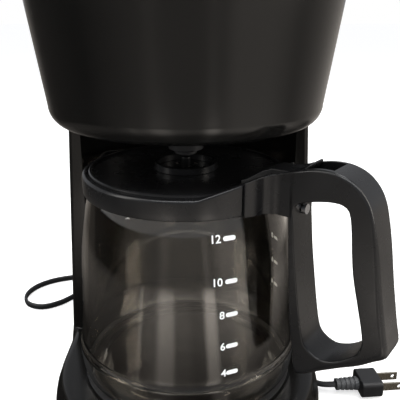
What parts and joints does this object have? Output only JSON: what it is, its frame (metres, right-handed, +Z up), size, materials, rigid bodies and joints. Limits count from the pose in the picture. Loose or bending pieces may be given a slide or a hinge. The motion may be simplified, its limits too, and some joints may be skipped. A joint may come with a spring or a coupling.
{
  "type": "drip coffee maker",
  "caption": "Black drip coffee maker with a tapered round-fronted head, lidded glass jug on a warming plate, lift-out basket and flat mains cord with plug.",
  "frame": {"origin": "centre of the box round the machine without its cord, on the table it stands on", "axes": "+Z up, +X to the machine's left as it faces out (the viewer's right), -Y out of the front"},
  "size_m": [0.3423, 0.3246, 0.335],
  "materials": {
    "housing_black": "satin",
    "inner_black": "matte",
    "tank_smoke": "gloss",
    "jug_glass": "polished",
    "jug_black": "satin",
    "plate_coat": "satin",
    "heater_aluminium": "as cast",
    "steel": "satin",
    "blade_metal": "polished",
    "cord_rubber": "matte",
    "feet_rubber": "matte",
    "hose_silicone": "matte",
    "seal_silicone": "matte",
    "ceramic": "matte",
    "lens_red": "gloss"
  },
  "bodies": {
    "machine": {"base_housing": "housing_black", "bottom_cover": "inner_black", "rubber_feet": "feet_rubber", "cover_screws": "steel", "tower_shell": "housing_black", "head_shell": "housing_black", "top_deck": "inner_black", "hinge_block": "housing_black", "lid_hinge_pin": "steel", "water_tank": "tank_smoke", "check_valve": "ceramic", "inlet_hose": "hose_silicone", "heater_casting": "heater_aluminium", "heater_clamp": "steel", "clamp_nut": "steel", "thermostat": "ceramic", "thermal_fuse": "steel", "riser_tube": "hose_silicone", "hose_clamps": "steel", "riser_seal": "hose_silicone", "warming_plate": "plate_coat", "plate_gasket": "feet_rubber", "switch_housing": "inner_black", "rocker_pin": "steel", "strain_relief": "cord_rubber", "power_cord": "cord_rubber", "plug_body": "cord_rubber", "plug_blades": "blade_metal"},
    "lid": {"top_lid": "housing_black", "lid_liner": "inner_black", "spray_head": "inner_black"},
    "basket": {"brew_basket": "inner_black"},
    "drip_stop": {"drip_plunger": "inner_black", "valve_seal": "seal_silicone", "drip_spring": "steel"},
    "rocker": {"switch_rocker": "inner_black", "switch_lens": "lens_red"},
    "carafe": {"glass_jug": "jug_glass", "carafe_collar": "jug_black", "carafe_handle": "jug_black", "handle_screw": "steel", "carafe_hinge_pin": "steel"},
    "jug_lid": {"carafe_lid": "jug_black"}
  },
  "joints": [
    {"name": "top_lid_hinge", "type": "hinge", "parent": "machine", "child": "lid", "pos_m": [-0.01113, 0.11114, 0.3295], "axis": [-1, 0, 0], "range_deg": [0, 105]},
    {"name": "basket_lift", "type": "slide", "parent": "machine", "child": "basket", "axis": [0, 0, 1], "range_m": [0, 0.12096]},
    {"name": "drip_stop_slide", "type": "slide", "parent": "basket", "child": "drip_stop", "axis": [0, 0, 1], "range_m": [0, 0.0035], "stiffness_N_per_m": 120, "springref_m": -0.004, "deforming": ["drip_spring"]},
    {"name": "switch_rocker_pivot", "type": "hinge", "parent": "machine", "child": "rocker", "pos_m": [-0.01113, -0.11786, 0.025], "axis": [-1, 0, 0], "range_deg": [0, 16]},
    {"name": "carafe_slide", "type": "slide", "parent": "machine", "child": "carafe", "axis": [0, -1, 0], "range_m": [0, 0.4]},
    {"name": "jug_lid_hinge", "type": "hinge", "parent": "carafe", "child": "jug_lid", "pos_m": [0.0483, -0.07125, 0.194], "axis": [0.5807, 0.8141, 0], "range_deg": [0, 34]}
  ],
  "couplings": [
    {"joint": "basket_lift", "follows": "top_lid_hinge", "m_per_rad": 0.066},
    {"joint": "jug_lid_hinge", "follows": "carafe_slide", "rad_per_m": 1.4835}
  ]
}
